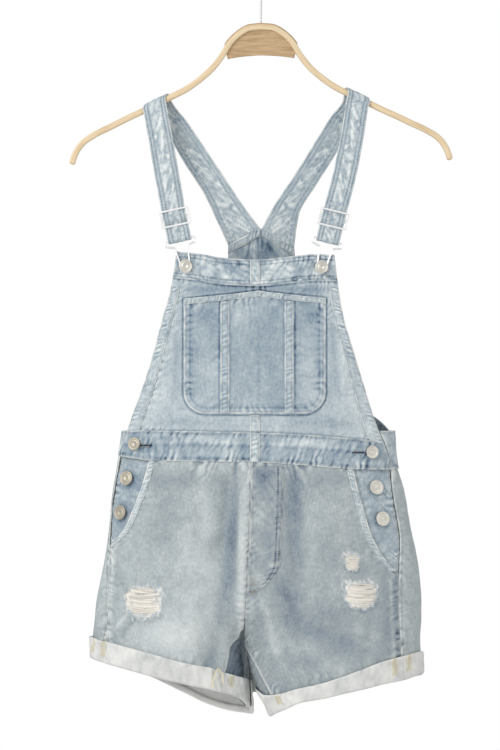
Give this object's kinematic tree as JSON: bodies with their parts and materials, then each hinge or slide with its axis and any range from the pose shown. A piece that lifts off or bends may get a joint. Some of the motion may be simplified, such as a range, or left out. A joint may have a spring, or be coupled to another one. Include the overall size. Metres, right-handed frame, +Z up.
{
  "type": "denim dungaree shorts on a hanger",
  "caption": "Light-wash denim dungaree shorts with bib pocket, buckled straps, slanted side pockets, rips and turned-up cuffs, hanging on a bent-wood hanger with a wire hook.",
  "frame": {"origin": "inside the top of the hanger's hook, at the middle of its wire's inner side, where a rail would hold it", "axes": "+Z up along the hanging garment, +X to the viewer's right, the garment's front faces -Y"},
  "size_m": [0.462, 0.149, 0.9108],
  "materials": {
    "denim_blue": "light-wash denim twill, faded",
    "denim_pale": "denim hems worn nearly white",
    "denim_inside": "pale wrong side of the denim",
    "button_metal": "warm pale silver, matt relief",
    "buckle_metal": "bright wire",
    "hook_steel": "plain steel wire",
    "hanger_wood": "light tan bentwood, satin"
  },
  "bodies": {
    "root": {"bib_panel": "denim_blue", "bib_top_band": "denim_blue", "bib_pocket": "denim_blue", "waistband_front": "denim_blue", "waistband_back": "denim_blue", "leg_front_left": "denim_blue", "leg_front_right": "denim_blue", "leg_back_left": "denim_blue", "leg_back_right": "denim_blue", "pocket_facing_left": "denim_blue", "pocket_facing_right": "denim_blue", "fly_shield": "denim_blue", "back_bib": "denim_blue", "strap_left": "denim_blue", "strap_right": "denim_blue", "bib_side_hem_left": "denim_pale", "bib_side_hem_right": "denim_pale", "bib_centre_lap_upper": "denim_pale", "bib_centre_lap_lower": "denim_pale", "bib_pocket_hem": "denim_pale", "bib_pocket_strip_left": "denim_pale", "bib_pocket_strip_right": "denim_pale", "waistband_centre_lap": "denim_pale", "pocket_hem_left": "denim_pale", "pocket_hem_right": "denim_pale", "armhole_hem_left": "denim_pale", "armhole_hem_right": "denim_pale", "yoke_band_left": "denim_pale", "yoke_band_right": "denim_pale", "cuff_front_left": "denim_inside", "cuff_front_right": "denim_inside", "cuff_back_left": "denim_inside", "cuff_back_right": "denim_inside", "bib_button_left": "button_metal", "bib_button_right": "button_metal", "waist_button_left": "button_metal", "waist_button_right": "button_metal", "side_button_left_upper": "button_metal", "side_button_left_lower": "button_metal", "side_button_right_upper": "button_metal", "side_button_right_lower": "button_metal", "buckle_left": "buckle_metal", "buckle_right": "buckle_metal", "slider_left": "buckle_metal", "slider_right": "buckle_metal", "hanger_hook": "hook_steel", "hanger_bar": "hanger_wood", "hanger_web": "hanger_wood"}
  },
  "joints": []
}
